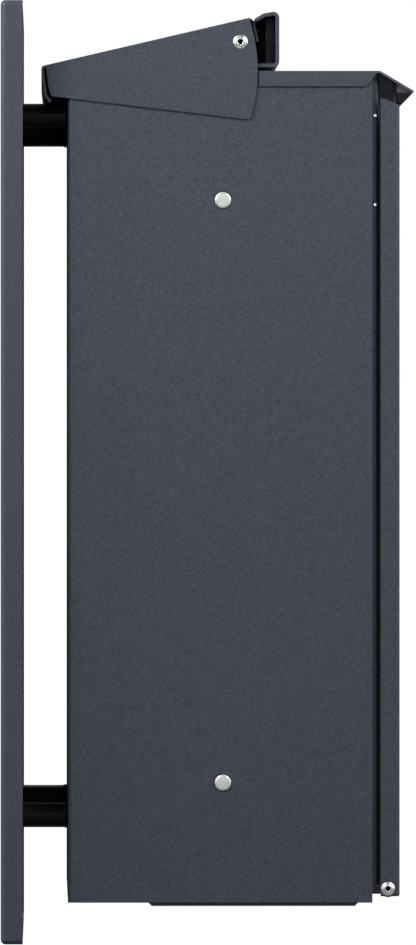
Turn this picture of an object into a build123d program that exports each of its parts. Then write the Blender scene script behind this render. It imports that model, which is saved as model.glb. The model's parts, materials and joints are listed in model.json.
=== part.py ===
from build123d import *
import os
from math import radians, tan

# A wall-hung cluster of two letterboxes on one back panel, in millimetres.
# +Z is up, the fronts face -Y, and the boxes stand side by side along X.
# The origin is the centre of the back panel's rear face, which lies on the wall.

# ---- driving dimensions ----
SHEET = 1.2             # every folded sheet
BEND = 2.0              # outer radius of a fold

PANEL_WIDTH, PANEL_HEIGHT, PANEL_DEPTH = 560.0, 471.5, 11.0
PANEL_BEND = 2.5
WALL_HOLE_R, WALL_HOLE_PITCH_X, WALL_HOLE_PITCH_Z = 3.5, 450.0, 400.0

BOX_WIDTH, BOX_PITCH = 256.0, 262.0
BOX_REAR, BOX_FRONT = -33.65, -186.0
BOX_BOTTOM, BOX_TOP = -215.45, 199.65
HALF = BOX_WIDTH / 2
INNER_HALF = HALF - SHEET

SPACER_PITCH_X, SPACER_HIGH, SPACER_LOW = 480.0, 178.7, -171.9
SPACER_R, SPACER_BORE_R, GASKET_R, GASKET_THICK = 6.1, 5.0, 6.4, 1.6
BOLT_R, BOLT_HOLE_R, BOLT_HEAD_R, BOLT_HEAD_TALL = 3.0, 3.2, 5.2, 3.3
NUT_R, NUT_NECK_R, NUT_TALL, WASHER_R, WASHER_THICK = 4.7, 4.0, 4.0, 7.0, 1.6
BOLT_SOCKET_R, BOLT_TIP = 2.2, 0.6
MERGE = 0.2                       # how far a shank runs into the head it belongs to

JOIN_Y, JOIN_HIGH, JOIN_LOW = -111.2, 136.1, -155.4
JOIN_HOLE_R, SLEEVE_R, JOIN_NUT_R = 3.0, 7.0, 5.5
PLUG_R, PLUG_THICK, PLUG_BEVEL, PLUG_BARB, PLUG_BARB_TALL = 4.1, 1.0, 0.4, 0.4, 1.4

ROOF_TOP = BOX_TOP + SHEET
ROOF_SIDE_FRONT = -129.4          # the roof's folded sides start here
ROOF_REAR_GAP, RIM_BOTTOM, RIM_CHAMFER, RIM_FRONT = 0.3, 193.1, 5.2, -182.9
NOSE_FOLD, NOSE_REACH, NOSE_ANGLE = -189.9, 17.0, 30.5
GUSSET_REAR, GUSSET_DROP, GUSSET_TIP_INSET, GUSSET_TIP_TALL = -198.3, 0.85, 1.0, 0.55
THROAT_FRONT, THROAT_REAR, THROAT_HALF, THROAT_LIP = -118.0, -40.0, 119.0, 6.0

HOOD_SLOPE = 13.1
HOOD_FRONT, HOOD_FRONT_TOP, HOOD_BEND = -126.45, 227.85, 3.0
HOOD_REAR = -20.1
LIP_FOOT = (-129.3, 215.65)
REAR_LIP_FOOT, REAR_HEM_END = (-21.85, 188.1), (-24.4, 184.95)
CHEEK_ARC_CENTRE, CHEEK_ARC_R, CHEEK_TOP, CHEEK_FOOT = (-47.8, 201.1), 80.75, 226.7, 176.4
CHEEK_REAR = [(-25.4, 188.1), (-23.95, 192.25)]
CHEEK_REAR_TOP = -22.6
LIP_HALF, LIP_NOTCH = 122.0, 1.25

FLAP_PIVOT = (-119.9, 215.35)
FLAP_SHEET, FLAP_BEND, FLAP_HALF = 1.9, 3.0, 127.4
FLAP_FRONT, FLAP_BOTTOM, FLAP_TOP = -139.4, 202.6, 231.0
FLAP_TIP, FLAP_KNEE, FLAP_KNEE_BEND, FLAP_FLANGE_REAR = (-127.1, 226.95), (-131.45, 229.6), 1.2, -122.5
ARM_OUTER, ARM_THICK, ARM_BOSS_R, ARM_FRONT = 126.2, 1.2, 5.0, -127.0
RIB_X, RIB_EDGE, RIB_TOP = 84.0, 13.2, 228.1
BUMPER_X, BUMPER_Y, BUMPER_R, BUMPER_TALL = 112.0, -131.3, 1.5, 1.45
TIP_SWEEP_R = 13.15               # the flap's upper edge clears the hood on this circle

FRAME_HALF, FRAME_FRONT, FRAME_REAR = 125.0, -198.15, -166.0
FRAME_STEP_Y, FRAME_STEP_HALF, FRAME_MOUTH_HALF = -188.9, 114.6, 107.4
FRAME_STEP_BEND = 1.4
JOGGLE_REAR, JOGGLE_FRONT = -181.0, -184.5
HEADER_BOTTOM, HEADER_REAR, CATCH_LIP_END, HEADER_HALF = 160.0, -184.0, -191.0, 114.0
HEADER_SET_BACK = 0.05            # behind the posts' front lips
RAIL_BOTTOM, RAIL_TOP, RAIL_REAR, RAIL_BEND, RAIL_HALF = -210.6, -190.6, -160.0, 2.5, 119.0
EAR_BOTTOM, EAR_TOP = -211.1, -206.2
FRAME_RIVET_Y, FRAME_RIVET_HEIGHTS = -187.35, (178.6, 133.9)
FRAME_RIVET_R, FRAME_RIVET_HEAD_R, FRAME_RIVET_HEAD_TALL = 0.6, 0.95, 0.5
GUARD_THICK, GUARD_HALF = 1.0, 113.0
GUARD_BOTTOM, GUARD_TOP, GUARD_HEM = -205.0, -130.5, -189.0
FLOOR_TOP = -208.2
SKIRT_BOTTOM, SKIRT_REAR, SKIRT_FRONT, SKIRT_CHAMFER = -217.1, -73.95, -178.8, 1.6

DOOR_FACE, DOOR_FLANGE = -199.65, -190.15
DOOR_BOTTOM, DOOR_TOP, DOOR_TOP_REAR = -212.25, 183.1, 187.35
DOOR_TOP_NOSE = (1.8, 1.55)       # how far back and up the top edge's steep part runs
DOOR_FOOT_ROUND = 1.1
DOOR_PIVOT = (-193.8, -208.4)
EAR_R = 4.35

RIVET_R, RIVET_HEAD_R, RIVET_HEAD_TALL, RIVET_TAIL_R, RIVET_TAIL = 2.0, 3.8, 1.3, 2.6, 2.2
RIVET_TAIL_ROUND, MANDREL_R, RUNNING = 1.0, 1.25, 0.05
HINGE_WASHER_R, HINGE_WASHER_THICK, FLAP_WASHER_GAP = 4.0, 1.5, 0.3

LOCK_Z, LOCK_FLANGE_R, LOCK_BODY_R, LOCK_PLUG_R = 140.0, 11.0, 9.4, 6.15
LOCK_PROUD, LOCK_REAR, LOCK_ROUND, LOCK_NUT_R, LOCK_NUT_THICK = 1.8, -190.6, 0.8, 13.0, 3.5
KEYWAY_HALF, KEYWAY_TALL, KEYWAY_DEEP, PLUG_SUNK = 0.7, 3.6, 6.0, 0.3
CAM_THICK, CAM_REACH, CAM_HALF, CAM_ROUND, CAM_EYE_R = 2.0, 28.0, 7.0, 3.0, 9.0
CAM_SCREW_R, CAM_SCREW_TALL, CAM_SOCKET_R, CAM_SCREW_DEEP = 4.5, 2.2, 1.7, 3.5

NAME_Z, NAME_WIDTH, NAME_TALL, NAME_RIM, NAME_PROUD = 96.0, 70.0, 24.0, 3.0, 1.7
NAME_CORNER, NAME_EDGE, CARD_THICK, WINDOW_FRONT = 3.0, 0.7, 0.4, 1.3


# ---- helpers ----
def block(x, y, z):
    """A box between the two values given for each direction."""
    centre = [(a + b) / 2 for a, b in (x, y, z)]
    return Pos(*centre) * Box(*[abs(b - a) for a, b in (x, y, z)])


def slab_x(outline, x0, x1):
    """A flat plate: an outline of (y, z) points, between two planes of X."""
    face = Plane.YZ * make_face(Polyline(*outline, close=True))
    return Pos(min(x0, x1), 0, 0) * extrude(face, amount=abs(x1 - x0))


def rod_x(radius, x0, x1, y, z):
    return Pos((x0 + x1) / 2, y, z) * Rot(0, 90, 0) * Cylinder(radius, abs(x1 - x0))


def rod_y(radius, y0, y1, x, z):
    return Pos(x, (y0 + y1) / 2, z) * Rot(90, 0, 0) * Cylinder(radius, abs(y1 - y0))


def ring_x(radius, bore, x0, x1, y, z):
    return rod_x(radius, x0, x1, y, z) - rod_x(bore, min(x0, x1) - 1, max(x0, x1) + 1, y, z)


def ring_y(radius, bore, y0, y1, x, z):
    return rod_y(radius, y0, y1, x, z) - rod_y(bore, min(y0, y1) - 1, max(y0, y1) + 1, x, z)


def shifted(points, distance):
    """An open outline moved sideways by distance, to the left of its direction."""
    lines = []
    for (ay, az), (by, bz) in zip(points, points[1:]):
        along = Vector(by - ay, bz - az, 0).normalized()
        aside = Vector(-along.Y, along.X, 0) * distance
        lines.append((Vector(ay, az, 0) + aside, Vector(by, bz, 0) + aside, along))
    moved = [lines[0][0]]
    for (_, end, before), (start, _, after) in zip(lines, lines[1:]):
        run = (start - end).cross(after).Z / before.cross(after).Z
        moved.append(end + before * run)
    moved.append(lines[-1][1])
    return [(p.X, p.Y) for p in moved]


def folded(outer, sheet=SHEET, bend=BEND):
    """The section of a folded sheet. Its outer side is given; the sheet lies to the left."""
    middle = shifted(outer, sheet / 2)
    return trace(FilletPolyline(*middle, radius=bend - sheet / 2), sheet)


def along_x(section, half_width):
    return extrude(Plane.YZ * section, amount=half_width, both=True)


def along_z(section, z0, z1):
    return Pos(0, 0, z0) * extrude(section, amount=z1 - z0)


def union(solids):
    solids = list(solids)
    whole = solids[0]
    for solid in solids[1:]:
        whole = whole + solid
    return whole


def both_sides(make):
    """What make(side) gives on the two sides of a box, as one list of solids."""
    return [solid for side in (-1, 1) for solid in make(side).solids()]


def blind_rivet(side, x_seat, x_tail, y, z):
    """A rivet along X: a domed head outside x_seat, a shank, and its upset tail inside x_tail."""
    dome_r = (RIVET_HEAD_R ** 2 + RIVET_HEAD_TALL ** 2) / (2 * RIVET_HEAD_TALL)
    dome = Pos(0, 0, RIVET_HEAD_TALL - dome_r) * Sphere(dome_r)
    head = dome & Pos(0, 0, RIVET_HEAD_TALL) * Cylinder(RIVET_HEAD_R + 1, RIVET_HEAD_TALL * 2)
    grip = abs(x_seat - x_tail)
    shank = Pos(0, 0, -grip / 2) * Cylinder(RIVET_R, grip + MERGE)
    tail = Pos(0, 0, -grip - RIVET_TAIL / 2) * Cylinder(RIVET_TAIL_R, RIVET_TAIL)
    tail = fillet(tail.edges().sort_by(Axis.Z)[0], RIVET_TAIL_ROUND)
    bore = Pos(0, 0, RIVET_HEAD_TALL) * Cylinder(MANDREL_R, RIVET_HEAD_TALL * 2)
    rivet = head + shank + tail - bore
    return Pos(side * x_seat, y, z) * Rot(0, 90 * side, 0) * rivet


def button_head(radius, tall, socket_r):
    """A low domed screw head standing on z = 0, with a hexagon socket."""
    head = Pos(0, 0, tall / 2) * Cylinder(radius, tall)
    head = fillet(head.edges().sort_by(Axis.Z)[-1], tall * 0.6)
    socket = Pos(0, 0, tall) * extrude(RegularPolygon(socket_r, 6), amount=tall * 0.55, both=True)
    return head - socket


# ---- back panel and its stand-offs ----
def back_panel():
    middle_y = -PANEL_DEPTH / 2
    tray = Pos(0, middle_y, 0) * Box(PANEL_WIDTH, PANEL_DEPTH, PANEL_HEIGHT)
    tray = fillet(tray.edges().filter_by(Axis.Y), PANEL_BEND)
    tray = fillet(tray.faces().sort_by(Axis.Y)[-1].edges(), PANEL_BEND)
    inside = Pos(0, middle_y - SHEET, 0) * Box(
        PANEL_WIDTH - 2 * SHEET, PANEL_DEPTH, PANEL_HEIGHT - 2 * SHEET)
    inside = fillet(inside.edges().filter_by(Axis.Y), PANEL_BEND - SHEET)
    inside = fillet(inside.faces().sort_by(Axis.Y)[-1].edges(), PANEL_BEND - SHEET)
    tray -= inside
    for x, z in wall_hole_places():
        tray -= rod_y(WALL_HOLE_R, -PANEL_DEPTH, 1, x, z)
    for x, z in spacer_places():
        tray -= rod_y(NUT_NECK_R, -PANEL_DEPTH, 1, x, z)
    return tray


def wall_hole_places():
    return [(sx * WALL_HOLE_PITCH_X / 2, sz * WALL_HOLE_PITCH_Z / 2)
            for sx in (-1, 1) for sz in (-1, 1)]


def spacer_places():
    return [(side * SPACER_PITCH_X / 2, z) for side in (-1, 1) for z in (SPACER_HIGH, SPACER_LOW)]


def per_spacer(make):
    return [make(x, z) for x, z in spacer_places()]


def spacer(x, z):
    return ring_y(SPACER_R, SPACER_BORE_R, BOX_REAR + GASKET_THICK, -SHEET, x, z)


def spacer_gasket(x, z):
    return ring_y(GASKET_R, BOLT_HOLE_R, BOX_REAR, BOX_REAR + GASKET_THICK, x, z)


def clinch_nut(x, z):
    collar = rod_y(NUT_R, -SHEET - NUT_TALL, -SHEET, x, z)
    neck = rod_y(NUT_NECK_R, -SHEET - 1, 0, x, z)
    return collar + neck - rod_y(BOLT_R, -PANEL_DEPTH, 1, x, z)


def box_washer(x, z):
    seat = BOX_REAR - SHEET
    return ring_y(WASHER_R, BOLT_HOLE_R, seat - WASHER_THICK, seat, x, z)


def box_bolt(x, z):
    seat = BOX_REAR - SHEET - WASHER_THICK
    head = Pos(x, seat, z) * Rot(90, 0, 0) * button_head(BOLT_HEAD_R, BOLT_HEAD_TALL, BOLT_SOCKET_R)
    return head + rod_y(BOLT_R, seat - MERGE, -SHEET + BOLT_TIP, x, z)


# ---- what joins the two boxes, and plugs their unused holes ----
def join_heights():
    return (JOIN_HIGH, JOIN_LOW)


def joining_sleeve(z):
    gap = (BOX_PITCH - BOX_WIDTH) / 2
    return ring_x(SLEEVE_R, JOIN_HOLE_R, -gap, gap, JOIN_Y, z)


def joining_screw(z):
    seat = (BOX_PITCH - BOX_WIDTH) / 2 + SHEET
    tail = seat + NUT_TALL + 1
    head = button_head(BOLT_HEAD_R, BOLT_HEAD_TALL, BOLT_SOCKET_R)
    head = Pos(-seat, JOIN_Y, z) * Rot(0, -90, 0) * head
    return head + rod_x(JOIN_HOLE_R, -seat - MERGE, tail, JOIN_Y, z)


def joining_nut(z):
    seat = (BOX_PITCH - BOX_WIDTH) / 2 + SHEET
    body = Plane.YZ * RegularPolygon(JOIN_NUT_R, 6)
    nut = Pos(seat, JOIN_Y, z) * extrude(body, amount=NUT_TALL)
    return nut - rod_x(JOIN_HOLE_R, seat - 1, seat + NUT_TALL + 1, JOIN_Y, z)


def side_plug(side, z):
    """A flat push-in plug with a bevelled rim, in an outer side wall."""
    wall = BOX_PITCH / 2 + HALF
    disc = Pos(0, 0, PLUG_THICK / 2) * Cylinder(PLUG_R, PLUG_THICK)
    disc = chamfer(disc.edges().sort_by(Axis.Z)[-1], PLUG_BEVEL)
    barb_end = -SHEET - 2 * PLUG_BARB_TALL / 2 - 0.1
    stem = Pos(0, 0, (MERGE / 2 + barb_end) / 2) * Cylinder(JOIN_HOLE_R, MERGE / 2 - barb_end)
    barb = Pos(0, 0, barb_end + PLUG_BARB_TALL / 2) * Cylinder(JOIN_HOLE_R + PLUG_BARB, PLUG_BARB_TALL)
    return Pos(side * wall, JOIN_Y, z) * Rot(0, 90 * side, 0) * (disc + stem + barb)


# ---- the box ----
def housing(inner_side):
    """Rear and side walls in one folded sheet. inner_side is the side of the neighbour."""
    plan = [(-HALF, BOX_FRONT), (-HALF, BOX_REAR), (HALF, BOX_REAR), (HALF, BOX_FRONT)]
    middle = shifted(plan, -SHEET / 2)
    section = trace(FilletPolyline(*middle, radius=BEND - SHEET / 2), SHEET)
    walls = along_z(section, BOX_BOTTOM, BOX_TOP)
    for z in (SPACER_HIGH, SPACER_LOW):
        x = inner_side * (BOX_PITCH - SPACER_PITCH_X) / 2
        walls -= rod_y(BOLT_HOLE_R, BOX_REAR + 1, BOX_REAR - SHEET - 1, x, z)
    for z in join_heights():
        walls -= rod_x(JOIN_HOLE_R, -HALF - 1, HALF + 1, JOIN_Y, z)
    return walls


def floor_pan():
    rear = BOX_REAR - SHEET
    clear = INNER_HALF - 1.0
    plate = block((-INNER_HALF, INNER_HALF), (rear, BOX_FRONT + 3), (FLOOR_TOP - SHEET, FLOOR_TOP))
    plate = fillet(plate.edges().filter_by(Axis.Z).sort_by(Axis.Y)[-2:], BEND)
    back_skirt = block((-clear, clear), (rear, rear - SHEET), (BOX_BOTTOM + 2, FLOOR_TOP - 0.1))
    outline = [(SKIRT_REAR, FLOOR_TOP), (SKIRT_REAR, SKIRT_BOTTOM + SKIRT_CHAMFER),
               (SKIRT_REAR - SKIRT_CHAMFER, SKIRT_BOTTOM), (SKIRT_FRONT + SKIRT_CHAMFER, SKIRT_BOTTOM),
               (SKIRT_FRONT, SKIRT_BOTTOM + SKIRT_CHAMFER), (SKIRT_FRONT, FLOOR_TOP)]
    skirts = [slab_x(outline, side * INNER_HALF, side * (INNER_HALF - SHEET)) for side in (-1, 1)]
    return union([plate, back_skirt] + skirts)


def roof():
    """Top sheet with folded sides and a sloped drip nose; letters drop through its throat."""
    drop = NOSE_REACH * tan(radians(NOSE_ANGLE))
    tip = (NOSE_FOLD - NOSE_REACH, ROOF_TOP - drop)
    rear = BOX_REAR - ROOF_REAR_GAP
    outer_half = HALF + SHEET
    covered = block((-HALF, HALF), (rear, ROOF_SIDE_FRONT - 1), (BOX_TOP, ROOF_TOP))
    section = folded([(ROOF_SIDE_FRONT, ROOF_TOP), (NOSE_FOLD, ROOF_TOP), tip])
    sheet = covered + along_x(section, outer_half)
    rim = [(ROOF_SIDE_FRONT, BOX_TOP + SHEET / 2), (ROOF_SIDE_FRONT, RIM_BOTTOM),
           (RIM_FRONT, RIM_BOTTOM), (RIM_FRONT - RIM_CHAMFER, BOX_TOP),
           (RIM_FRONT - RIM_CHAMFER, BOX_TOP + SHEET / 2)]
    gusset_top = ROOF_TOP + (GUSSET_REAR - NOSE_FOLD) * tan(radians(NOSE_ANGLE)) - SHEET * 0.75
    gusset_foot, gusset_tip = tip[1] - GUSSET_DROP, tip[0] + GUSSET_TIP_INSET
    gusset = [(GUSSET_REAR, gusset_foot), (gusset_tip, gusset_foot),
              (gusset_tip, gusset_foot + GUSSET_TIP_TALL), (GUSSET_REAR, gusset_top)]
    sides = [slab_x(rim, side * HALF, side * outer_half) for side in (-1, 1)]
    gussets = [slab_x(gusset, side * (HALF - SHEET), side * HALF) for side in (-1, 1)]
    throat = block((-THROAT_HALF, THROAT_HALF), (THROAT_REAR, THROAT_FRONT), (BOX_TOP - 1, ROOF_TOP + 1))
    lip_outline = [(THROAT_FRONT, ROOF_TOP), (THROAT_FRONT - SHEET, ROOF_TOP),
                   (THROAT_FRONT - SHEET, BOX_TOP - THROAT_LIP), (THROAT_FRONT, BOX_TOP - THROAT_LIP)]
    turned_lip = slab_x(lip_outline, -THROAT_HALF, THROAT_HALF)
    whole = union([sheet] + sides + gussets) - throat + turned_lip
    long_edges = [e for e in whole.edges().filter_by(Axis.Y)
                  if abs(e.center().Z - ROOF_TOP) < 0.01 and abs(e.center().X) > HALF + 1]
    return fillet(long_edges, SHEET * 0.8)


def hood_line(y):
    """Height of the hood's top surface at a given y."""
    return HOOD_FRONT_TOP - (y - HOOD_FRONT) * tan(radians(HOOD_SLOPE))


def hood():
    """Sloped rain hood over the letter slot: a top with a front lip and a rear lip, and two cheeks."""
    outer = [LIP_FOOT, (HOOD_FRONT, HOOD_FRONT_TOP), (HOOD_REAR, hood_line(HOOD_REAR)),
             REAR_LIP_FOOT, REAR_HEM_END]
    middle = shifted(outer, -SHEET / 2)
    radii = [HOOD_BEND - SHEET / 2, BEND - SHEET / 2, BEND - SHEET / 2]
    top = along_x(trace(FilletPolyline(*middle, radius=radii), SHEET), HALF + SHEET)
    notch = ((HOOD_FRONT + LIP_NOTCH, LIP_FOOT[0] - SHEET), (LIP_FOOT[1] - SHEET, HOOD_FRONT_TOP + SHEET))
    for side in (-1, 1):
        top -= block((side * LIP_HALF, side * (HALF + 2 * SHEET)), *notch)
    arc_y, arc_z = CHEEK_ARC_CENTRE

    def on_arc(z):
        return (arc_y - (CHEEK_ARC_R ** 2 - (z - arc_z) ** 2) ** 0.5, z)

    upper, lower = on_arc(CHEEK_TOP), on_arc(CHEEK_FOOT)
    corners = [lower, *CHEEK_REAR, (CHEEK_REAR_TOP, hood_line(CHEEK_REAR_TOP) - SHEET / 2), upper]
    edge = [Line(a, b) for a, b in zip(corners, corners[1:])]
    edge.append(ThreePointArc(upper, on_arc(arc_z), lower))
    cheek = Plane.YZ * make_face(Wire(edge))
    cheeks = [Pos(min(side * HALF, side * (HALF + SHEET)), 0, 0) * extrude(cheek, amount=SHEET)
              for side in (-1, 1)]
    whole = union([top] + cheeks)
    for side in (-1, 1):
        whole -= rod_x(RIVET_R, side * (HALF - 1), side * (HALF + 3), *FLAP_PIVOT)
    return whole


# ---- front frame ----
def front_frame():
    """Collar the door closes on: two stepped posts, a header with a catch lip, and a bottom rail."""
    half_sheet = SHEET / 2
    web, joggle = FRAME_HALF - half_sheet, INNER_HALF - half_sheet
    step_x, step_y = FRAME_STEP_HALF - half_sheet, FRAME_STEP_Y + half_sheet
    middle = FRAME_FRONT + half_sheet
    bend = BEND - half_sheet

    def post(side):
        route = [(side * joggle, FRAME_REAR), (side * joggle, JOGGLE_REAR), (side * web, JOGGLE_FRONT),
                 (side * web, step_y), (side * step_x, step_y), (side * step_x, middle),
                 (side * FRAME_MOUTH_HALF, middle)]
        radii = [bend, bend, FRAME_STEP_BEND - half_sheet, bend, bend]
        return along_z(trace(FilletPolyline(*route, radius=radii), SHEET), FLOOR_TOP, BOX_TOP)

    def ear(side):
        """The post's foot, rounded about the door's pivot so that the door clears it."""
        inner, outer = side * (FRAME_HALF - SHEET), side * FRAME_HALF
        foot = block((inner, outer), (JOGGLE_FRONT, DOOR_PIVOT[0]), (EAR_BOTTOM, EAR_TOP))
        return foot + rod_x(EAR_R, inner, outer, *DOOR_PIVOT)

    slope = tan(radians(NOSE_ANGLE))
    half_angle = tan(radians(NOSE_ANGLE / 2))
    fold_y, fold_z = NOSE_FOLD + 1.5 * SHEET * half_angle, BOX_TOP - half_sheet
    catch_z = HEADER_BOTTOM + half_sheet
    header = trace(FilletPolyline((HEADER_REAR, fold_z), (fold_y, fold_z),
                                  (middle, fold_z - (fold_y - middle) * slope),
                                  (middle, catch_z), (CATCH_LIP_END, catch_z), radius=bend), SHEET)
    rail_z = RAIL_BOTTOM + half_sheet
    rail = trace(FilletPolyline((RAIL_REAR, rail_z), (middle, rail_z), (middle, RAIL_TOP),
                                radius=RAIL_BEND - half_sheet), SHEET)
    above_y, reach = NOSE_FOLD + SHEET * half_angle, FRAME_REAR - FRAME_FRONT
    above = [(above_y, BOX_TOP), (above_y - reach, BOX_TOP - reach * slope),
             (above_y - reach, BOX_TOP + reach), (above_y, BOX_TOP + reach)]
    posts = post(-1) + post(1) - slab_x(above, -HALF, HALF)
    header = Pos(0, HEADER_SET_BACK, 0) * along_x(header, HEADER_HALF)
    whole = union([posts, ear(-1), ear(1), header, along_x(rail, RAIL_HALF)])
    for side in (-1, 1):
        inside, outside = side * (FRAME_HALF - 3), side * (FRAME_HALF + 1)
        whole -= rod_x(RIVET_R, inside, outside, *DOOR_PIVOT)
        for z in FRAME_RIVET_HEIGHTS:
            whole -= rod_x(FRAME_RIVET_R, side * (FRAME_HALF - SHEET), outside, FRAME_RIVET_Y, z)
    return whole


def frame_rivet(side, z):
    """A small rivet beside the door: a rounded head, and a shank set flush inside."""
    head = Pos(0, 0, FRAME_RIVET_HEAD_TALL / 2) * Cylinder(FRAME_RIVET_HEAD_R, FRAME_RIVET_HEAD_TALL)
    head = fillet(head.edges().sort_by(Axis.Z)[-1], FRAME_RIVET_HEAD_TALL * 0.8)
    shank = Pos(0, 0, (0.1 - SHEET) / 2) * Cylinder(FRAME_RIVET_R, SHEET + 0.1)
    return Pos(side * FRAME_HALF, FRAME_RIVET_Y, z) * Rot(0, 90 * side, 0) * (head + shank)


def frame_rivets():
    return [frame_rivet(side, z) for z in FRAME_RIVET_HEIGHTS for side in (-1, 1)]


def letter_guard():
    """Plate behind the bottom rail that keeps the letters in when the door opens."""
    plate_y = FRAME_FRONT + SHEET + GUARD_THICK / 2
    section = trace(FilletPolyline((plate_y, GUARD_BOTTOM), (plate_y, GUARD_TOP),
                                   (GUARD_HEM, GUARD_TOP), radius=1.5 * GUARD_THICK), GUARD_THICK)
    return along_x(section, GUARD_HALF)


# ---- flap ----
def flap():
    """The grip profile that closes the letter slot: a C-section with a sloped upper flange."""
    outer = [FLAP_TIP, FLAP_KNEE, (FLAP_FRONT, FLAP_TOP), (FLAP_FRONT, FLAP_BOTTOM),
             (FLAP_FLANGE_REAR, FLAP_BOTTOM)]
    middle = shifted(outer, FLAP_SHEET / 2)
    radii = [FLAP_KNEE_BEND, FLAP_BEND - FLAP_SHEET / 2, FLAP_BEND - FLAP_SHEET / 2]
    section = trace(FilletPolyline(*middle, radius=radii), FLAP_SHEET)
    profile = along_x(section, FLAP_HALF)
    y, z = FLAP_PIVOT
    swept = rod_x(TIP_SWEEP_R, -FLAP_HALF - 1, FLAP_HALF + 1, y, z)
    upper = block((-FLAP_HALF - 1, FLAP_HALF + 1), (y, FLAP_FRONT), (z + ARM_BOSS_R, FLAP_TOP + 1))
    return profile - (swept & upper)


def flap_brackets():
    """Arms that stand on the lower flange and turn on the pivots, and ribs inside the profile."""
    y, z = FLAP_PIVOT
    wall = FLAP_FRONT + FLAP_SHEET + RUNNING
    floor = FLAP_BOTTOM + FLAP_SHEET + RUNNING
    rib_rear = y - RIB_EDGE
    rib = [(wall, floor + 1), (wall, RIB_TOP - 1.6), (wall + 1.5, RIB_TOP), (rib_rear, RIB_TOP - 0.3),
           (rib_rear, floor), (wall + 1, floor)]
    foot = FLAP_FLANGE_REAR - 0.2
    arm = [(y + ARM_BOSS_R - 0.3, z - 1.9), (foot, floor), (ARM_FRONT, floor), (ARM_FRONT, z - 1.3),
           (y - 3.6, z + 3.5)]

    def arms_and_ribs(side):
        inner, outer = side * (ARM_OUTER - ARM_THICK), side * ARM_OUTER
        plate = slab_x(arm, inner, outer) + rod_x(ARM_BOSS_R, inner, outer, y, z)
        plate -= rod_x(RIVET_R + RUNNING, side * (ARM_OUTER - 3), side * (ARM_OUTER + 1), y, z)
        stiffener = slab_x(rib, side * RIB_X, side * (RIB_X + ARM_THICK))
        return Compound([plate.solid(), stiffener.solid()])

    return both_sides(arms_and_ribs)


def flap_rivets():
    return both_sides(lambda side: blind_rivet(
        side, HALF + SHEET, ARM_OUTER - ARM_THICK - 0.3, *FLAP_PIVOT))


def flap_bumpers():
    button = Pos(0, 0, BUMPER_TALL / 2) * Cylinder(BUMPER_R, BUMPER_TALL)
    button = fillet(button.edges().sort_by(Axis.Z)[-1], BUMPER_TALL / 2)
    return [Pos(side * BUMPER_X, BUMPER_Y, ROOF_TOP) * button for side in (-1, 1)]


def hinge_washers():
    """Nylon washers on the rivets, between the fixed sheet and the moving one."""
    def pair(side):
        at_door = ring_x(HINGE_WASHER_R, RIVET_R, side * FRAME_HALF,
                         side * (FRAME_HALF + HINGE_WASHER_THICK), *DOOR_PIVOT)
        at_flap = ring_x(HINGE_WASHER_R, RIVET_R, side * (ARM_OUTER + FLAP_WASHER_GAP),
                         side * HALF, *FLAP_PIVOT)
        return Compound([at_door.solid(), at_flap.solid()])
    return both_sides(pair)


# ---- door ----
def door():
    """The removal door: a face with two side flanges, cut to a slope at the top."""
    plan = [(-HALF, DOOR_FLANGE), (-HALF, DOOR_FACE), (HALF, DOOR_FACE), (HALF, DOOR_FLANGE)]
    section = folded(plan)
    shell = along_z(section, DOOR_BOTTOM, DOOR_TOP_REAR)
    back, up = DOOR_TOP_NOSE
    front, rear, high = DOOR_FACE - SHEET, DOOR_FLANGE + 0.1, DOOR_TOP_REAR + SHEET
    above = [(front, DOOR_TOP), (DOOR_FACE + 0.1, DOOR_TOP), (DOOR_FACE + back, DOOR_TOP + up),
             (rear, DOOR_TOP_REAR), (rear, high), (front, high)]
    shell -= slab_x(above, -HALF - 1, HALF + 1)
    foot = [e for e in shell.edges().filter_by(Axis.X)
            if abs(e.center().Z - DOOR_BOTTOM) < 0.01 and abs(e.center().Y - DOOR_FACE) < 0.01]
    shell = fillet(foot, DOOR_FOOT_ROUND)
    shell -= rod_y(LOCK_BODY_R, DOOR_FACE - 1, DOOR_FACE + 3, 0, LOCK_Z)
    for side in (-1, 1):
        shell -= rod_x(RIVET_R + RUNNING, side * (HALF - 3), side * (HALF + 1), *DOOR_PIVOT)
    return shell


def door_rivets():
    return both_sides(lambda side: blind_rivet(side, HALF + 0.2, FRAME_HALF - SHEET, *DOOR_PIVOT))


def lock_barrel():
    flange = Pos(0, DOOR_FACE, LOCK_Z) * Rot(90, 0, 0) * (
        Pos(0, 0, LOCK_PROUD / 2) * Cylinder(LOCK_FLANGE_R, LOCK_PROUD))
    flange = fillet(flange.edges().sort_by(Axis.Y)[0], LOCK_ROUND)
    body = rod_y(LOCK_BODY_R, DOOR_FACE - MERGE, LOCK_REAR, 0, LOCK_Z)
    return flange + body - rod_y(LOCK_PLUG_R + RUNNING, DOOR_FACE - 5, LOCK_REAR + 1, 0, LOCK_Z)


def lock_nut():
    seat = DOOR_FACE + SHEET
    hexagon = extrude(RegularPolygon(LOCK_NUT_R, 6), amount=LOCK_NUT_THICK)
    hexagon = Pos(0, seat, LOCK_Z) * Rot(-90, 0, 0) * hexagon
    return hexagon - rod_y(LOCK_BODY_R, seat - 1, seat + 5, 0, LOCK_Z)


def lock_plug():
    front = DOOR_FACE - LOCK_PROUD + PLUG_SUNK
    core = rod_y(LOCK_PLUG_R, front, LOCK_REAR + MERGE, 0, LOCK_Z)
    keyway = block((-KEYWAY_HALF, KEYWAY_HALF), (front - 1, front + KEYWAY_DEEP),
                   (LOCK_Z - KEYWAY_TALL, LOCK_Z + KEYWAY_TALL))
    return core - keyway - rod_y(RIVET_R, LOCK_REAR - 4, LOCK_REAR + 1, 0, LOCK_Z)


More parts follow.
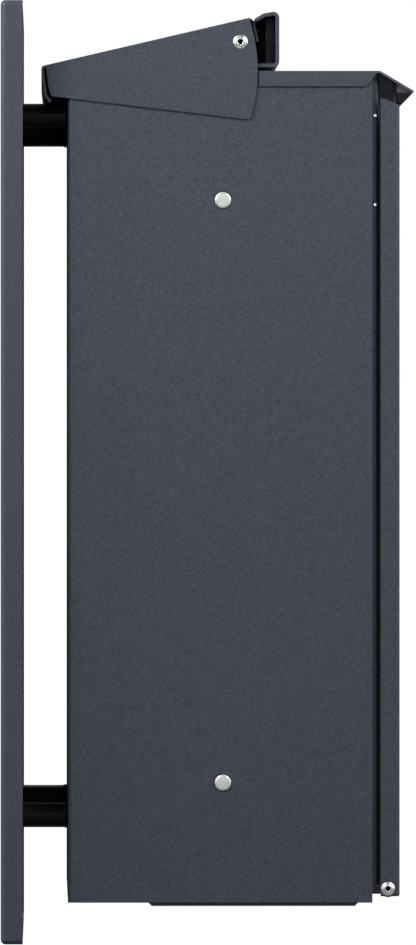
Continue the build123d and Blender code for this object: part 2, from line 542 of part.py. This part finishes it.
def lock_cam():
    """The cam points aside when the lock is open, and up behind the header when it is shut."""
    front, rear = LOCK_REAR + MERGE, LOCK_REAR + MERGE + CAM_THICK
    arm = block((0, CAM_REACH), (front, rear), (LOCK_Z - CAM_HALF, LOCK_Z + CAM_HALF))
    arm = fillet([e for e in arm.edges().filter_by(Axis.Y) if e.center().X > CAM_REACH - 0.1], CAM_ROUND)
    eye = rod_y(CAM_EYE_R, front, rear, 0, LOCK_Z)
    return arm + eye - rod_y(RIVET_R, front - 1, rear + 1, 0, LOCK_Z)


def cam_screw():
    seat = LOCK_REAR + MERGE + CAM_THICK
    head = button_head(CAM_SCREW_R, CAM_SCREW_TALL, CAM_SOCKET_R)
    head = Pos(0, seat, LOCK_Z) * Rot(-90, 0, 0) * head
    return head + rod_y(RIVET_R, LOCK_REAR - CAM_SCREW_DEEP, seat + MERGE, 0, LOCK_Z)


def name_frame():
    x, z = NAME_WIDTH / 2, NAME_TALL / 2
    rim = block((-x, x), (DOOR_FACE, DOOR_FACE - NAME_PROUD), (NAME_Z - z, NAME_Z + z))
    rim = fillet(rim.edges().filter_by(Axis.Y), NAME_CORNER)
    rim = fillet(rim.faces().sort_by(Axis.Y)[0].edges(), NAME_EDGE)
    x, z = x - NAME_RIM, z - NAME_RIM
    return rim - block((-x, x), (DOOR_FACE + 1, DOOR_FACE - 5), (NAME_Z - z, NAME_Z + z))


def name_layer(y0, y1):
    x, z = NAME_WIDTH / 2 - NAME_RIM, NAME_TALL / 2 - NAME_RIM
    return block((-x, x), (y0, y1), (NAME_Z - z, NAME_Z + z))


def name_card():
    return name_layer(DOOR_FACE, DOOR_FACE - CARD_THICK)


def name_window():
    return name_layer(DOOR_FACE - CARD_THICK, DOOR_FACE - WINDOW_FRONT)


# ---- files ----
def save(name, shapes):
    """Writes one node: a single solid, or a group of separate ones."""
    shapes = shapes if isinstance(shapes, list) else [shapes]
    solids = [solid for shape in shapes for solid in shape.solids()]
    whole = solids[0] if len(solids) == 1 else Compound(solids)
    export_step(whole, os.path.join("parts", name + ".step"))


def moved(shapes, x):
    shapes = shapes if isinstance(shapes, list) else [shapes]
    return [Pos(x, 0, 0) * shape for shape in shapes]


BOX_PARTS = {
    "floor_pan": floor_pan, "roof": roof, "hood": hood, "front_frame": front_frame,
    "frame_rivets": frame_rivets, "letter_guard": letter_guard, "flap": flap,
    "flap_brackets": flap_brackets, "flap_rivets": flap_rivets, "flap_bumpers": flap_bumpers,
    "hinge_washers": hinge_washers, "door": door, "door_rivets": door_rivets,
    "lock_barrel": lock_barrel, "lock_nut": lock_nut, "lock_plug": lock_plug,
    "lock_cam": lock_cam, "cam_screw": cam_screw, "name_frame": name_frame,
    "name_card": name_card, "name_window": name_window,
}

os.makedirs("parts", exist_ok=True)

save("back_panel", back_panel())
save("spacers", per_spacer(spacer))
save("spacer_gaskets", per_spacer(spacer_gasket))
save("clinch_nuts", per_spacer(clinch_nut))
save("box_washers", per_spacer(box_washer))
save("box_bolts", per_spacer(box_bolt))
save("joining_sleeves", [joining_sleeve(z) for z in join_heights()])
save("joining_screws", [joining_screw(z) for z in join_heights()])
save("joining_nuts", [joining_nut(z) for z in join_heights()])
save("side_plugs", [side_plug(side, z) for side in (-1, 1) for z in join_heights()])

for label, side in (("left", -1), ("right", 1)):
    centre = side * BOX_PITCH / 2
    save("housing_" + label, moved(housing(-side), centre))
    for name, make in BOX_PARTS.items():
        save(name + "_" + label, moved(make(), centre))
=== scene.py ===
import json
import math

import bmesh
import bpy
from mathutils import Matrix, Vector

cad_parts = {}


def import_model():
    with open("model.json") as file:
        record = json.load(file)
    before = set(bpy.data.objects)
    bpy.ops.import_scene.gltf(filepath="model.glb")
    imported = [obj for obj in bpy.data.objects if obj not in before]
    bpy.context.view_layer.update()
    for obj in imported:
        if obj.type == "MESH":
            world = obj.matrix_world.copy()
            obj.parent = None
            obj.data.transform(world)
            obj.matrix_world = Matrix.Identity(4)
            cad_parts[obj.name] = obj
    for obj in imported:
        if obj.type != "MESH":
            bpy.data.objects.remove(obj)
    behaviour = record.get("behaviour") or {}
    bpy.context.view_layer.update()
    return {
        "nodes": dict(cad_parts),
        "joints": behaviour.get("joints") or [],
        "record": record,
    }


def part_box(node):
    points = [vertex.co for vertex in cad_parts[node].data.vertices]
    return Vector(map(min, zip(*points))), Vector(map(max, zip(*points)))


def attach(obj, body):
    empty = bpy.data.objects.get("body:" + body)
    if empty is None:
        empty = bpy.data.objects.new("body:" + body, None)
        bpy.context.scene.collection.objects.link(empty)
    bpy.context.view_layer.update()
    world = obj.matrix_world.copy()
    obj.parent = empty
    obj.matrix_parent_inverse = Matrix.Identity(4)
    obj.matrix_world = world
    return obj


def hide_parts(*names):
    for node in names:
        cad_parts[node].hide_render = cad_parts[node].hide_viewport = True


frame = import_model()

# The cluster mailbox unit: its CAD nodes get crisp folded edges and finishes, and its blind rivets and
# side plugs are rebuilt in mesh code. Metres; +Z is up, the wall is the plane y = 0, and the fronts
# face -Y.

MM = 0.001
BOXES = ("left", "right")
OUTWARD = (-1, 1)              # the two sides of a box, or of the unit, along X
SLOT_OF = {part["node"]: part["material_slot"] for part in frame["record"]["subparts"]}
HINGE_AT = {joint["name"]: joint["pos_m"] for joint in frame["joints"]}


# ---- node helpers ----
class Tree:
    """The node tree of a new material or world, with short calls to add nodes and link them."""

    def __init__(self, name, library=bpy.data.materials):
        self.owner = library.new(name)
        self.owner.use_nodes = True
        self.tree = self.owner.node_tree
        self.tree.nodes.clear()
        self.coordinates = None

    def add(self, kind, settings=None, **inputs):
        node = self.tree.nodes.new(kind)
        for key, value in (settings or {}).items():
            setattr(node, key, value)
        for key, value in inputs.items():
            self.set(node, key.replace("_", " "), value)
        return node

    def set(self, node, socket, value):
        """Links value to the socket where it is another node's output, and stores it otherwise."""
        target = node.inputs[int(socket)] if socket.isdigit() else node.inputs[socket]
        if hasattr(value, "is_output"):
            self.tree.links.new(value, target)
        else:
            target.default_value = value

    def place(self, scale=(1, 1, 1)):
        """The piece's own coordinates in metres, stretched by scale."""
        if self.coordinates is None:
            self.coordinates = self.add("ShaderNodeTexCoord").outputs["Object"]
        if scale == (1, 1, 1):
            return self.coordinates
        return self.add("ShaderNodeMapping", Scale=scale, Vector=self.coordinates).outputs["Vector"]

    def noise(self, scale, detail=2.0, roughness=0.5, vector=None):
        node = self.add("ShaderNodeTexNoise", Scale=scale, Detail=detail, Roughness=roughness,
                        Vector=vector or self.place())
        return node.outputs["Fac"]

    def cells(self, scale):
        node = self.add("ShaderNodeTexVoronoi", Scale=scale, Vector=self.place())
        return node.outputs["Distance"]

    def spread(self, value, low, high, start=0.3, end=0.7):
        """value, which lies about start to end, carried to low to high and held there."""
        node = self.add("ShaderNodeMapRange", Value=value, From_Min=start, From_Max=end, To_Min=low,
                        To_Max=high)
        return node.outputs["Result"]

    def maths(self, operation, a, b=0.0):
        node = self.add("ShaderNodeMath", {"operation": operation})
        self.set(node, "0", a)
        self.set(node, "1", b)
        return node.outputs[0]

    def tinted(self, factor, dark, light):
        node = self.add("ShaderNodeMix", {"data_type": "RGBA"})
        self.set(node, "0", factor)
        self.set(node, "6", (*dark, 1))
        self.set(node, "7", (*light, 1))
        return node.outputs[2]

    def bump(self, height, strength, distance, normal=None):
        node = self.add("ShaderNodeBump", Strength=strength, Distance=distance, Height=height)
        if normal:
            self.set(node, "Normal", normal)
        return node.outputs["Normal"]

    def either(self, factor, first, second):
        """The first shader where factor is 0, and the second where it is 1."""
        node = self.add("ShaderNodeMixShader", Fac=factor)
        self.set(node, "1", first)
        self.set(node, "2", second)
        return node.outputs[0]

    def show(self, surface, output="ShaderNodeOutputMaterial"):
        self.add(output, Surface=surface)
        return self.owner

    def finish(self, constants, **links):
        """One principled shader, with its constants by their socket names."""
        shader = self.add("ShaderNodeBsdfPrincipled", **links)
        for socket, value in constants.items():
            self.set(shader, socket, value)
        return self.show(shader.outputs[0])


def scaled(colour, factor):
    return tuple(channel * factor for channel in colour)


# ---- finishes, each named as its slot in the record ----
POWDER = (0.0440, 0.0512, 0.0700)
POWDER_CONTRAST = 0.27


def powder_coat(t):
    """Fine-textured anthracite powder coat: grainy, with small lumps and a slow unevenness."""
    grain = t.noise(1450, roughness=0.6)
    lumps = t.noise(800)
    cloudy = t.noise(120, 3.0, 0.6)
    shade = t.maths("ADD", t.spread(grain, -0.7, 1.7), t.spread(cloudy, -0.07, 0.07))
    colour = t.tinted(shade, scaled(POWDER, 1 - POWDER_CONTRAST), scaled(POWDER, 1 + POWDER_CONTRAST))
    peel = t.bump(lumps, 0.3, 0.00025)
    return t.finish({"Specular IOR Level": 0.42}, Base_Color=colour,
                    Roughness=t.spread(lumps, 0.44, 0.60), Normal=t.bump(grain, 0.5, 0.00015, peel))


def black_tube(t):
    """Satin black, with faint lines drawn out along Y."""
    grain = t.noise(2600)
    drawn = t.noise(900, vector=t.place((1, 0.04, 1)))
    colour = t.tinted(t.spread(grain, 0, 1), (0.005, 0.005, 0.0056), (0.009, 0.009, 0.0102))
    return t.finish({"Specular IOR Level": 0.18}, Base_Color=colour,
                    Roughness=t.spread(drawn, 0.40, 0.54),
                    Normal=t.bump(t.maths("ADD", grain, drawn), 0.12, 0.0001))


def black_rubber(t):
    """Matt black, with a faint bloom."""
    grain = t.noise(3200, 3.0, 0.7)
    bloom = t.noise(240, 3.0)
    colour = t.tinted(t.spread(bloom, 0, 1), (0.0035, 0.0035, 0.0035), (0.008, 0.008, 0.0078))
    return t.finish({"Specular IOR Level": 0.25}, Base_Color=colour,
                    Roughness=t.spread(grain, 0.72, 0.92), Normal=t.bump(grain, 0.35, 0.0002))


def zinc_steel(t):
    """Zinc plate, with pale crystals and a cloudy shine."""
    cloud = t.noise(700, 3.0, 0.6)
    crystals = t.spread(t.cells(420), 0, 0.4, 0, 0.6)
    shade = t.maths("ADD", t.spread(cloud, 0, 0.6), crystals)
    colour = t.tinted(shade, (0.44, 0.45, 0.47), (0.64, 0.65, 0.66))
    return t.finish({"Metallic": 1.0}, Base_Color=colour, Roughness=t.spread(cloud, 0.28, 0.46),
                    Normal=t.bump(cloud, 0.1, 0.0001))


def satin_plug(t):
    """Bright frosted metal."""
    frost = t.noise(2300, roughness=0.6)
    colour = t.tinted(t.spread(frost, 0, 1), (0.56, 0.56, 0.57), (0.82, 0.82, 0.82))
    return t.finish({"Metallic": 0.55}, Base_Color=colour, Roughness=t.spread(frost, 0.34, 0.50),
                    Normal=t.bump(frost, 0.3, 0.0001))


def rivet_metal(t):
    """Bright aluminium, finely brushed."""
    fine = t.noise(2600, 3.0)
    colour = t.tinted(t.spread(fine, 0, 1), (0.66, 0.66, 0.67), (0.80, 0.80, 0.80))
    return t.finish({"Metallic": 1.0}, Base_Color=colour, Roughness=t.spread(fine, 0.24, 0.40),
                    Normal=t.bump(fine, 0.1, 0.0001))


def nylon(t):
    """Matt near-black plastic."""
    fine = t.noise(1800, 3.0)
    colour = t.tinted(t.spread(fine, 0, 1), (0.022, 0.022, 0.023), (0.036, 0.036, 0.037))
    return t.finish({"Specular IOR Level": 0.35}, Base_Color=colour,
                    Roughness=t.spread(fine, 0.5, 0.7), Normal=t.bump(fine, 0.15, 0.0001))


def lock_chrome(t):
    """Polished plate, with a slight haze."""
    haze = t.noise(500, 4.0, 0.6)
    fine = t.noise(2600)
    colour = t.tinted(t.spread(haze, 0, 1), (0.64, 0.64, 0.66), (0.76, 0.76, 0.77))
    return t.finish({"Metallic": 1.0}, Base_Color=colour, Roughness=t.spread(haze, 0.10, 0.20),
                    Normal=t.bump(fine, 0.04, 0.0001))


def black_plastic(t):
    """Black plastic with a fine leathery grain."""
    fine = t.noise(1500)
    colour = t.tinted(t.spread(fine, 0, 1), (0.014, 0.014, 0.016), (0.024, 0.024, 0.027))
    return t.finish({"Specular IOR Level": 0.4}, Base_Color=colour,
                    Roughness=t.spread(fine, 0.42, 0.6), Normal=t.bump(t.cells(1900), 0.2, 0.00012))


def card(t):
    """Blank card: off-white fibres that lie along Z."""
    fibres = t.noise(1500, 4.0, 0.7, t.place((1, 1, 0.25)))
    cloud = t.noise(120, 3.0)
    shade = t.maths("ADD", t.spread(fibres, 0, 0.6), t.spread(cloud, 0, 0.4))
    colour = t.tinted(shade, (0.70, 0.69, 0.65), (0.84, 0.83, 0.80))
    return t.finish({"Specular IOR Level": 0.2}, Base_Color=colour,
                    Roughness=t.spread(fibres, 0.75, 0.95), Normal=t.bump(fibres, 0.2, 0.00008))


def clear_window(t):
    """A thin clear sheet that mostly shows what is behind it."""
    smear = t.noise(90, 3.0)
    return t.finish({"Base Color": (0.90, 0.92, 0.94, 1), "Alpha": 0.14, "IOR": 1.49},
                    Roughness=t.spread(smear, 0.03, 0.10))


FINISHES = {make.__name__: make(Tree(make.__name__)) for make in (
    powder_coat, black_tube, black_rubber, zinc_steel, satin_plug, rivet_metal, nylon, lock_chrome,
    black_plastic, card, clear_window)}


# ---- edges of the CAD nodes ----
SHEETS = {"back_panel", "housing", "floor_pan", "roof", "hood", "front_frame", "letter_guard", "door",
          "flap", "flap_brackets"}
SHEET_EDGE, SMALL_EDGE = 0.33 * MM, 0.12 * MM
WINDOW_SHRINK = 0.12 * MM      # leaves air between the window and the card
WELD_GAP = 0.01 * MM
FLAT_WITHIN = math.radians(0.4)
EDGE_BEYOND = math.radians(35)
LARGE_FACES_FIRST = 100        # the shading of a flat face stays flat beside its small rounded edges


def crisp_edges(piece, width, shrink):
    """Small rounded edges with flat faces between them; shrink draws the corners in first."""
    weld = piece.modifiers.new("weld", "WELD")
    weld.merge_threshold = WELD_GAP
    if shrink:
        inset = piece.modifiers.new("shrink", "DISPLACE")
        inset.direction = "NORMAL"
        inset.mid_level = 0.0
        inset.strength = -shrink
    flat = piece.modifiers.new("flat", "DECIMATE")
    flat.decimate_type = "DISSOLVE"
    flat.angle_limit = FLAT_WITHIN
    bevel = piece.modifiers.new("edge", "BEVEL")
    bevel.width = width
    bevel.segments = 2
    bevel.limit_method = "ANGLE"
    bevel.angle_limit = EDGE_BEYOND
    bevel.miter_outer = "MITER_ARC"
    shading = piece.modifiers.new("shading", "WEIGHTED_NORMAL")
    shading.keep_sharp = True
    shading.weight = LARGE_FACES_FIRST


for node, obj in frame["nodes"].items():
    kind = node.removesuffix("_left").removesuffix("_right")
    obj.data.materials.clear()
    obj.data.materials.append(FINISHES[SLOT_OF[node]])
    crisp_edges(obj, SHEET_EDGE if kind in SHEETS else SMALL_EDGE,
                WINDOW_SHRINK if kind == "name_window" else 0.0)


# ---- rivets and plugs ----
# A profile is a list of (radius, height) in millimetres, with the height outwards from the face that
# the head sits on.
STEPS = 64                     # corners round a turned piece
SMOOTH_BELOW = math.radians(32)
HEAD_R = 3.8                   # the rivet's and the mandrel's profiles are drawn for this head
RIVETS = {                     # the head's radius, the grip, and the seat from the box's middle, in mm
    "flap": (3.8, 4.5, 129.2),
    "door": (3.55, 4.4, 128.2),
}
PLUG_SEAT = 259 * MM           # from the unit's middle
# The mandrel profile lines each rivet's bore as a cup: it stands for the mandrel stub, and its black
# finish is painted shade that keeps the deep hole dark.
MANDREL_AND_BORE_SHADE = [(0, -1.5), (0.5, -1.5), (1.0, -1.3), (1.12, 0.80), (1.18, 0.80), (1.18, -1.8), (0, -1.8)]
PLUG = [(0, 1.0), (3.2, 1.0), (3.35, 0.98), (3.95, 0.55), (4.08, 0.38), (4.1, 0.1), (4.1, 0), (3.0, 0),
        (3.0, -1.3), (3.4, -1.4), (3.4, -2.1), (3.0, -2.7), (0, -2.7)]
# a thin black ring under each plug: painted shade for the shadow gap round it
PLUG_SHADE_RING = [(0, 0.01), (4.4, 0.01), (4.42, 0.08), (4.3, 0.16), (0, 0.16)]


def widened(profile, factor):
    return [(radius * factor, height) for radius, height in profile]


def rivet_profile(head_r, grip):
    """A blind rivet: its hole, a rolled collar, a groove, the domed flange, the shank and the tail."""
    head = [(0, -1.9), (1.0, -1.9), (1.2, -1.7), (1.22, 0.92), (1.3, 1.12), (1.55, 1.24), (1.95, 1.24),
            (2.3, 1.10), (2.5, 0.86), (2.62, 0.78), (2.75, 0.80), (3.1, 0.74), (3.45, 0.56),
            (3.7, 0.30), (HEAD_R, 0.10), (HEAD_R, 0)]
    tail = [(2.0, 0), (2.0, -grip), (2.55, -grip - 0.3), (2.6, -grip - 1.0), (2.3, -grip - 1.8),
            (1.5, -grip - 2.2), (0, -grip - 2.2)]
    return widened(head, head_r / HEAD_R) + tail


def lathe(mesh, profile, centre, outward):
    """Turns a profile round an axis along X, into mesh."""
    rings = []
    for radius, height in profile:
        x = centre[0] + outward * height * MM
        if radius == 0:
            rings.append([mesh.verts.new((x, centre[1], centre[2]))])
            continue
        ring = []
        for step in range(STEPS):
            turn = 2 * math.pi * step / STEPS
            ring.append(mesh.verts.new((x, centre[1] + radius * MM * math.cos(turn),
                                        centre[2] + radius * MM * math.sin(turn))))
        rings.append(ring)
    for first, second in zip(rings, rings[1:]):
        for step in range(STEPS):
            after = (step + 1) % STEPS
            if len(first) == 1:
                corners = [first[0], second[after], second[step]]
            elif len(second) == 1:
                corners = [first[step], first[after], second[0]]
            else:
                corners = [first[step], first[after], second[after], second[step]]
            mesh.faces.new(corners)


def turned(name, profile, places, body, node, finish):
    """One piece of turned bodies at places, each an (x, y, z) centre with its outward side. It stands
    for the CAD node, unless node is None."""
    mesh = bmesh.new()
    for centre, outward in places:
        lathe(mesh, profile, centre, outward)
    bmesh.ops.recalc_face_normals(mesh, faces=mesh.faces)
    data = bpy.data.meshes.new(name)
    mesh.to_mesh(data)
    mesh.free()
    data.polygons.foreach_set("use_smooth", [True] * len(data.polygons))
    data.set_sharp_from_angle(angle=SMOOTH_BELOW)
    data.materials.append(FINISHES[finish])
    piece = bpy.data.objects.new(name, data)
    bpy.context.scene.collection.objects.link(piece)
    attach(piece, body)
    if node:
        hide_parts(node)


def add_rivets(box, hinge):
    """The two blind rivets of a box's hinge, with their heads outside, and in them black mandrel stubs,
    whose black is painted shade that keeps the bores dark.
    """
    head_r, grip, seat = RIVETS[hinge]
    node = f"{hinge}_rivets_{box}"
    low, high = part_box(node)
    middle = (low.x + high.x) / 2
    _, y, z = HINGE_AT[f"{hinge}_hinge_{box}"]
    places = [((middle + side * seat * MM, y, z), side) for side in OUTWARD]
    turned(node + "_turned", rivet_profile(head_r, grip), places, "frame", node, "rivet_metal")
    # the stubs are black as painted shade, keeping the rivets' bores dark
    turned(node + "_mandrel_stubs_and_bore_shade", widened(MANDREL_AND_BORE_SHADE, head_r / HEAD_R), places, "frame", None, "black_tube")


def add_side_plugs():
    """Two plugs in each outer side wall, one above the other, each on a thin black ring that is painted
    shade for the shadow gap round the plug.
    """
    low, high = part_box("side_plugs")
    y = (low.y + high.y) / 2
    radius = (high.y - low.y) / 2
    places = [((side * PLUG_SEAT, y, z), side) for side in OUTWARD
              for z in (low.z + radius, high.z - radius)]
    turned("side_plugs_turned", PLUG, places, "frame", "side_plugs", "satin_plug")
    # the black rings round the plugs are painted shade for their shadow gaps
    turned("side_plug_shade_rings", PLUG_SHADE_RING, places, "frame", None, "black_rubber")


for box in BOXES:
    for hinge in RIVETS:
        add_rivets(box, hinge)
add_side_plugs()


# ---- stage, light and camera ----
FLOOR_HALF, FLOOR_Z = 40.0, -0.30
FLOOR_MIRRORED = 0.15          # how much of the pale floor a reflection shows
FLOOR_GLOW = 0.42
WORLD_LEFT, WORLD_RIGHT, WORLD_BELOW, WORLD_ABOVE = 0.08, 0.13, 0.4, 1.2
PANEL_WHITE = 0.5              # how white the panels before and behind the unit are in a reflection
LIGHTS = {                     # the place, the aim, the size and the power in watts
    "key_wall": ((-0.83, 0.50, 0.60), (-0.26, -0.05, 0.06), (0.35, 0.4), 7.9),
    "key_front": ((-0.80, -0.74, 0.60), (-0.26, -0.18, 0.10), (0.35, 0.35), 4.8),
    "camera_side": ((-3.0, -0.12, 0.30), (-0.26, -0.12, 0.0), (0.35, 0.35), 5.5),
    "front_soft": ((-0.55, -1.9, 0.55), (0, -0.15, 0.0), (0.9, 1.3), 12),
    "rear_soft": ((-0.55, 1.7, 0.55), (-0.1, 0, 0.0), (0.9, 1.3), 16),
    "right_soft": ((1.6, -0.9, 0.9), (0.26, -0.1, 0.0), (1.2, 1.2), 18),
}


def aim(obj, place, target):
    """Links obj to the scene at place, looking at target."""
    bpy.context.scene.collection.objects.link(obj)
    obj.location = place
    obj.rotation_euler = (Vector(target) - Vector(place)).to_track_quat("-Z", "Y").to_euler()


def floor():
    """A wide floor, pale to the camera and dull to the light, which a view from below looks through."""
    mesh = bpy.data.meshes.new("floor")
    mesh.from_pydata([(-FLOOR_HALF, -FLOOR_HALF, FLOOR_Z), (FLOOR_HALF, -FLOOR_HALF, FLOOR_Z),
                      (FLOOR_HALF, FLOOR_HALF, FLOOR_Z), (-FLOOR_HALF, FLOOR_HALF, FLOOR_Z)],
                     [], [(0, 1, 2, 3)])
    obj = bpy.data.objects.new("floor", mesh)
    bpy.context.scene.collection.objects.link(obj)
    t = Tree("floor")
    mottle = t.tinted(t.noise(3.0, 3.0), (0.70, 0.70, 0.70), (0.74, 0.74, 0.74))
    pale = t.add("ShaderNodeAddShader")
    t.set(pale, "0", t.add("ShaderNodeBsdfDiffuse", Color=mottle).outputs[0])
    t.set(pale, "1", t.add("ShaderNodeEmission", Color=(1, 1, 1, 1), Strength=FLOOR_GLOW).outputs[0])
    dull = t.add("ShaderNodeBsdfDiffuse", Color=(0.10, 0.10, 0.10, 1))
    ray = t.add("ShaderNodeLightPath")
    mirrored = t.maths("MULTIPLY", ray.outputs["Is Glossy Ray"], FLOOR_MIRRORED)
    paleness = t.maths("MAXIMUM", ray.outputs["Is Camera Ray"], mirrored)
    upper = t.either(paleness, dull.outputs[0], pale.outputs[0])
    clear = t.add("ShaderNodeBsdfTransparent")
    facing = t.add("ShaderNodeNewGeometry")
    mesh.materials.append(t.show(t.either(facing.outputs["Backfacing"], upper, clear.outputs[0])))


def world():
    """White to the camera, and a soft grey light that is weaker from the left and from below.
    Reflections see it with a white backdrop on the right, and with panels before and behind."""
    t = Tree("studio", bpy.data.worlds)
    axes = t.add("ShaderNodeSeparateXYZ", Vector=t.add("ShaderNodeTexCoord").outputs["Generated"])
    across = t.spread(axes.outputs["X"], WORLD_LEFT, WORLD_RIGHT, -1, 1)
    upright = t.spread(axes.outputs["Z"], WORLD_BELOW, WORLD_ABOVE, -1, 1)
    grey = t.add("ShaderNodeBackground", Color=(0.97, 0.985, 1.0, 1),
                 Strength=t.maths("MULTIPLY", across, upright))
    white = t.add("ShaderNodeBackground", Color=(1, 1, 1, 1), Strength=1.02)
    backdrop = t.spread(axes.outputs["X"], 0, 1, 0.15, 0.6)
    panels = t.spread(t.maths("ABSOLUTE", axes.outputs["Y"]), 0, PANEL_WHITE, 0.3, 0.85)
    ray = t.add("ShaderNodeLightPath")
    mirrored = t.maths("MULTIPLY", ray.outputs["Is Glossy Ray"], t.maths("MAXIMUM", backdrop, panels))
    around = t.either(mirrored, grey.outputs[0], white.outputs[0])
    seen = t.either(ray.outputs["Is Camera Ray"], around, white.outputs[0])
    bpy.context.scene.world = t.show(seen, "ShaderNodeOutputWorld")


def camera():
    """Level with the unit's middle and almost square to its left side, from over eight metres."""
    lens = bpy.data.cameras.new("camera")
    lens.lens = 632.4
    lens.sensor_width = 36
    lens.clip_start = 0.5
    lens.clip_end = 10.4       # the floor would come into view past this, so the ground stays white
    obj = bpy.data.objects.new("camera", lens)
    aim(obj, (-8.565, -0.022, 0.0), (-0.265, -0.10365, -0.00015))
    bpy.context.scene.camera = obj


def area_light(name, place, target, size, power):
    light = bpy.data.lights.new(name, "AREA")
    light.shape = "RECTANGLE"
    light.size, light.size_y = size
    light.energy = power
    aim(bpy.data.objects.new(name, light), place, target)


floor()
world()
camera()
for name, (place, target, size, power) in LIGHTS.items():
    area_light(name, place, target, size, power)
bpy.context.scene.view_settings.view_transform = "Standard"
bpy.context.scene.view_settings.look = "None"
